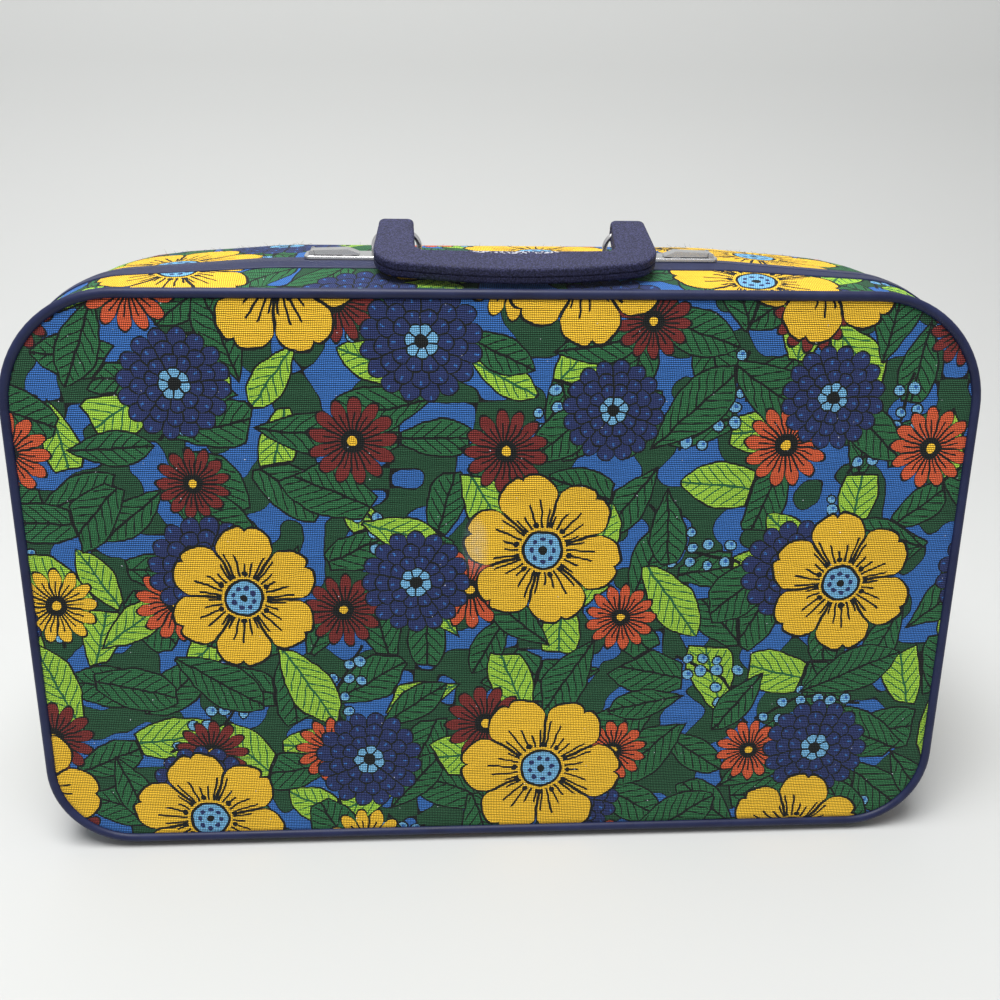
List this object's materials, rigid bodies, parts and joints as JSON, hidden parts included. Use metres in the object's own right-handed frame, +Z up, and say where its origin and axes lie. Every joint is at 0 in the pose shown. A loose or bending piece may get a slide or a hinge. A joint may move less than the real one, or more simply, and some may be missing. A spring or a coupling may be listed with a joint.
{
  "type": "overnight suitcase",
  "caption": "Small tapered overnight suitcase: cloth-covered board halves hinged along the base, with vinyl trim, a folding bow handle and lever latches.",
  "frame": {"origin": "floor level under the middle of the case's base", "axes": "+X along the width, to the right seen from the lid side; +Y from the lid to the body; +Z up"},
  "size_m": [0.448, 0.1776, 0.294],
  "materials": {
    "fibreboard": "matte fibreboard",
    "printed_canvas": "coarse printed cotton canvas",
    "navy_vinyl": "satin navy vinyl",
    "handle_vinyl": "worn satin vinyl",
    "lining_cloth": "plain lining cloth",
    "foot_plastic": "moulded",
    "bright_steel": "bright plated, slightly dulled"
  },
  "bodies": {
    "body": {"body_feet": "foot_plastic", "body_hinge_leaf_left": "bright_steel", "body_hinge_leaf_right": "bright_steel", "body_hinge_rivets": "bright_steel", "body_lining": "lining_cloth", "body_panel_board": "fibreboard", "body_panel_cloth": "printed_canvas", "body_piping": "navy_vinyl", "body_rim_binding": "navy_vinyl", "body_rim_strip": "lining_cloth", "body_wall_board": "fibreboard", "body_wall_cloth": "printed_canvas", "handle_loop_left": "bright_steel", "handle_loop_right": "bright_steel", "hinge_pin_left": "bright_steel", "hinge_pin_right": "bright_steel", "latch_pin_left": "bright_steel", "latch_pin_right": "bright_steel", "latch_plate_left": "bright_steel", "latch_plate_right": "bright_steel", "plate_rivets": "bright_steel"},
    "lid": {"lid_catch_left": "bright_steel", "lid_catch_right": "bright_steel", "lid_catch_rivets_left": "bright_steel", "lid_catch_rivets_right": "bright_steel", "lid_feet": "foot_plastic", "lid_hinge_leaf_left": "bright_steel", "lid_hinge_leaf_right": "bright_steel", "lid_hinge_rivets": "bright_steel", "lid_lining": "lining_cloth", "lid_panel_board": "fibreboard", "lid_panel_cloth": "printed_canvas", "lid_piping": "navy_vinyl", "lid_rim_binding": "navy_vinyl", "lid_wall_board": "fibreboard", "lid_wall_cloth": "printed_canvas"},
    "lever_left": {"latch_lever_left": "bright_steel"},
    "lever_right": {"latch_lever_right": "bright_steel"},
    "handle": {"handle": "handle_vinyl"}
  },
  "joints": [
    {"name": "lid_hinge", "type": "hinge", "parent": "body", "child": "lid", "pos_m": [0, -0.02, 0.0039], "axis": [1, 0, 0], "range_deg": [0, 165]},
    {"name": "handle_swing", "type": "hinge", "parent": "body", "child": "handle", "pos_m": [0.006, -0.011, 0.2886], "axis": [-1, 0, 0], "range_deg": [0, 150]},
    {"name": "lever_left_lift", "type": "hinge", "parent": "body", "child": "lever_left", "pos_m": [-0.086, -0.014, 0.2802], "axis": [0, -1, 0], "range_deg": [0, 70]},
    {"name": "lever_right_lift", "type": "hinge", "parent": "body", "child": "lever_right", "pos_m": [0.098, -0.014, 0.2802], "axis": [0, 1, 0], "range_deg": [0, 70]}
  ]
}
